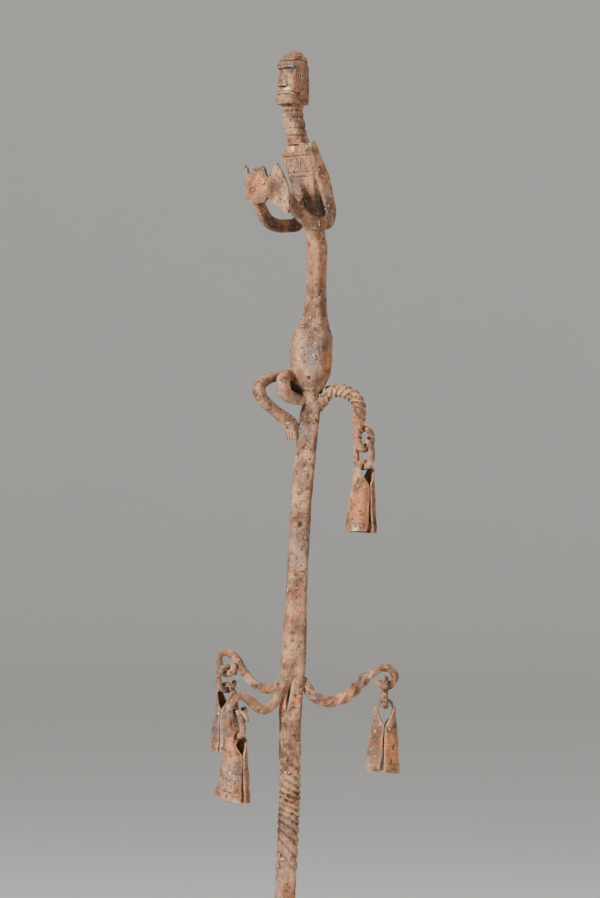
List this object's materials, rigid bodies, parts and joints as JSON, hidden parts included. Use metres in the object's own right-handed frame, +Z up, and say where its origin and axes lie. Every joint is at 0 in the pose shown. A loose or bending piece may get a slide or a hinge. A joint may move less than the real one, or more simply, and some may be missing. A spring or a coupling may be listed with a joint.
{
  "type": "iron ritual staff",
  "caption": "Forged iron ritual staff: a square, partly twisted bar with a small standing figure on top, and hooks that carry rings with folded sheet-iron bells.",
  "frame": {"origin": "middle of the blunt foot of the ground spike", "axes": "+Z up the staff, +X to the viewer's right and +Y away from the viewer, as the picture shows it"},
  "size_m": [0.1438, 0.0826, 1.1],
  "materials": {
    "rusted_iron": "rough, pitted, evenly rusted"
  },
  "bodies": {
    "staff": {"ground_tang": "rusted_iron", "lower_shank": "rusted_iron", "upper_shaft": "rusted_iron", "figure_hips": "rusted_iron", "figure_abdomen": "rusted_iron", "figure_torso": "rusted_iron", "figure_neck": "rusted_iron", "figure_head": "rusted_iron", "near_arm": "rusted_iron", "far_arm": "rusted_iron", "near_leg": "rusted_iron", "far_leg": "rusted_iron", "upper_right_hook": "rusted_iron", "lower_right_hook": "rusted_iron", "front_left_hook": "rusted_iron", "rear_left_hook": "rusted_iron"},
    "upper_right_ring": {"upper_right_ring": "rusted_iron"},
    "upper_right_bell": {"upper_right_bell": "rusted_iron"},
    "lower_right_ring": {"lower_right_ring": "rusted_iron"},
    "lower_right_bell": {"lower_right_bell": "rusted_iron"},
    "front_left_ring": {"front_left_ring": "rusted_iron"},
    "front_left_bell": {"front_left_bell": "rusted_iron"},
    "rear_left_ring": {"rear_left_ring": "rusted_iron"},
    "rear_left_bell": {"rear_left_bell": "rusted_iron"}
  },
  "joints": [
    {"name": "upper_right_ring_swing", "type": "hinge", "parent": "staff", "child": "upper_right_ring", "pos_m": [0.05559, 0.0045, 0.8028], "axis": [0.729, 0.6845, 0], "range_deg": [-40, 35]},
    {"name": "upper_right_bell_swing", "type": "hinge", "parent": "upper_right_ring", "child": "upper_right_bell", "pos_m": [0.05559, 0.0045, 0.78851], "axis": [0.5878, -0.809, 0], "range_deg": [-15, 45]},
    {"name": "lower_right_ring_swing", "type": "hinge", "parent": "staff", "child": "lower_right_ring", "pos_m": [0.07154, 0.002, 0.62425], "axis": [1, 0, 0], "range_deg": [-35, 35]},
    {"name": "lower_right_bell_swing", "type": "hinge", "parent": "lower_right_ring", "child": "lower_right_bell", "pos_m": [0.07154, 0.002, 0.60935], "axis": [0, -1, 0], "range_deg": [-45, 45]},
    {"name": "front_left_ring_swing", "type": "hinge", "parent": "staff", "child": "front_left_ring", "pos_m": [-0.03968, -0.0236, 0.60125], "axis": [0.7705, 0.6374, 0], "range_deg": [-5, 20]},
    {"name": "front_left_bell_swing", "type": "hinge", "parent": "front_left_ring", "child": "front_left_bell", "pos_m": [-0.03968, -0.0236, 0.5884], "axis": [0.6374, -0.7705, 0], "range_deg": [-45, 25]},
    {"name": "rear_left_ring_swing", "type": "hinge", "parent": "staff", "child": "rear_left_ring", "pos_m": [-0.04795, 0.0235, 0.63165], "axis": [0.7501, -0.6613, 0], "range_deg": [-20, 30]},
    {"name": "rear_left_bell_swing", "type": "hinge", "parent": "rear_left_ring", "child": "rear_left_bell", "pos_m": [-0.04795, 0.0235, 0.61975], "axis": [-0.4818, -0.8763, 0], "range_deg": [-45, 15]}
  ]
}
